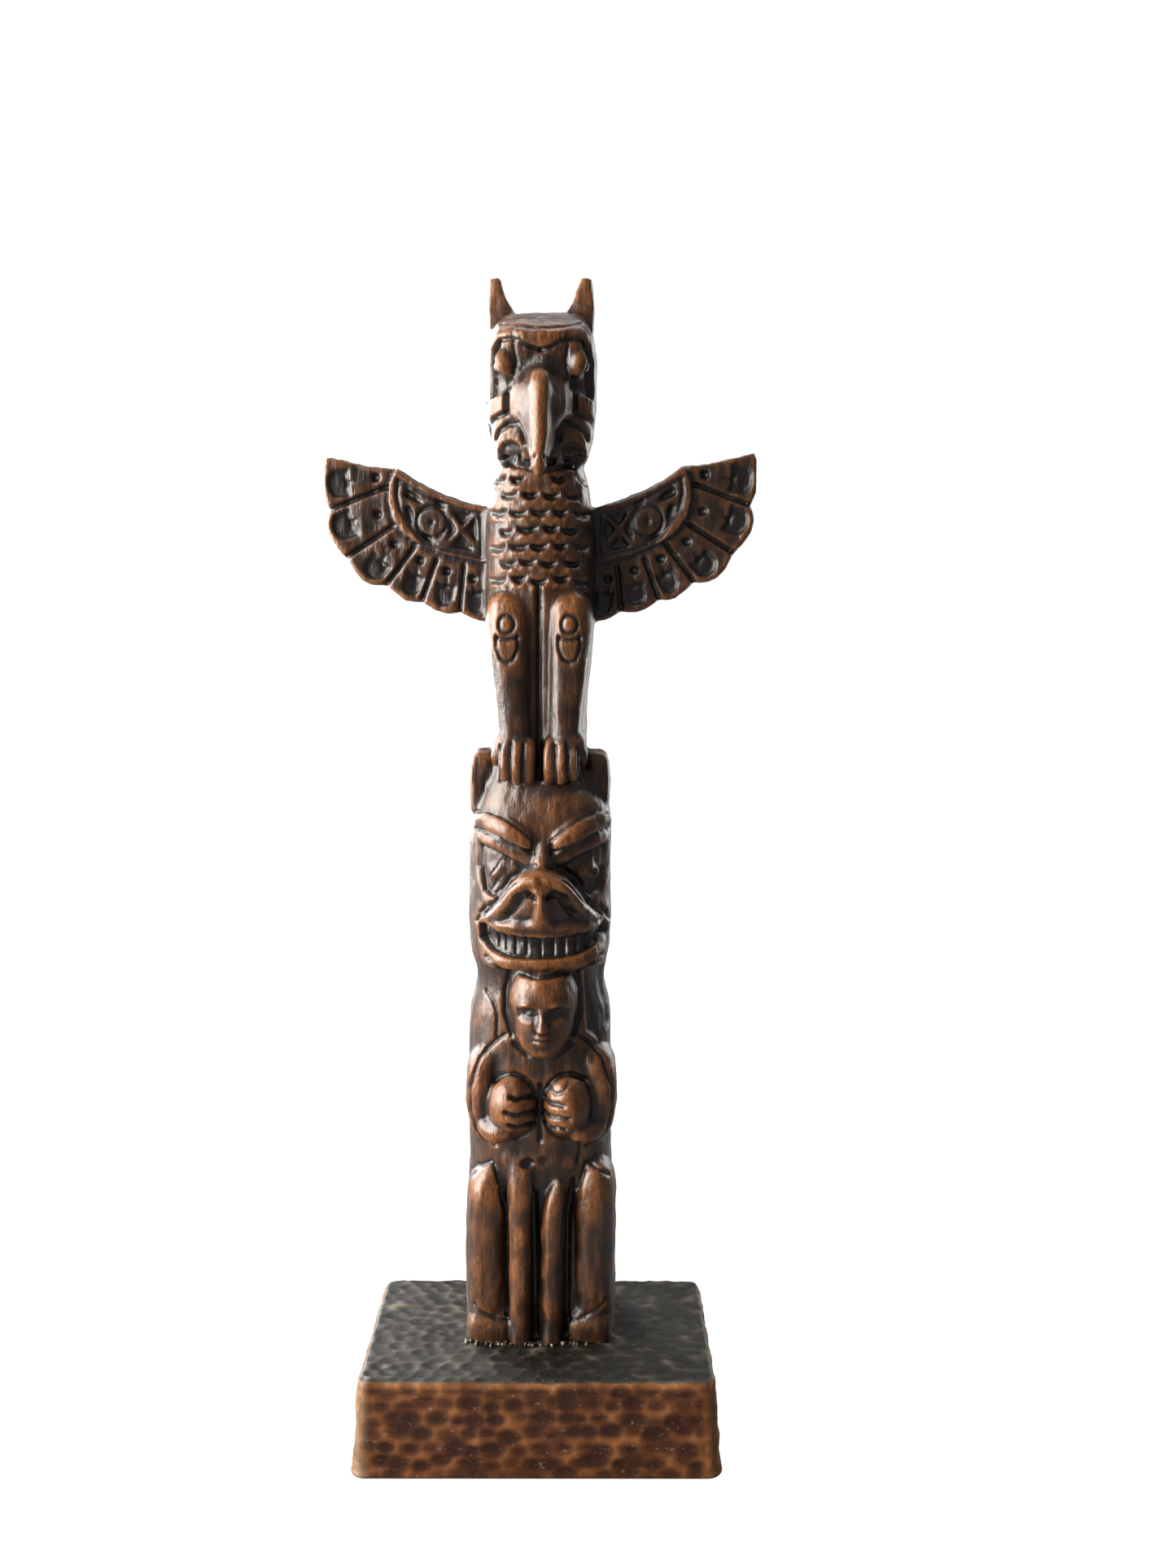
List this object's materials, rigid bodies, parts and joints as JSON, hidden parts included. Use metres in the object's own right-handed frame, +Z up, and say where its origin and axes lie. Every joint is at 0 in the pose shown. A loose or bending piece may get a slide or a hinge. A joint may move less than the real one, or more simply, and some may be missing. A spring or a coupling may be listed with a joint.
{
  "type": "souvenir totem pole",
  "caption": "Cast souvenir totem pole: a winged bird over a bear and a small seated figure, on a hammered oblong plinth.",
  "frame": {"origin": "middle of the plinth's underside, on the surface that it stands on", "axes": "+X to the viewer's right, +Y from the front to the back, +Z up along the pole"},
  "size_m": [0.0958, 0.0452, 0.254],
  "materials": {
    "stained_resin": "cast resin stained like oiled wood, near-black wash in the carving, rubbed orange on the edges",
    "hammered_resin": "hammered block, dark wash in the dimples and rubbed brown ridges, satin"
  },
  "bodies": {
    "root": {"carved_pole": "stained_resin", "plinth": "hammered_resin"}
  },
  "joints": []
}
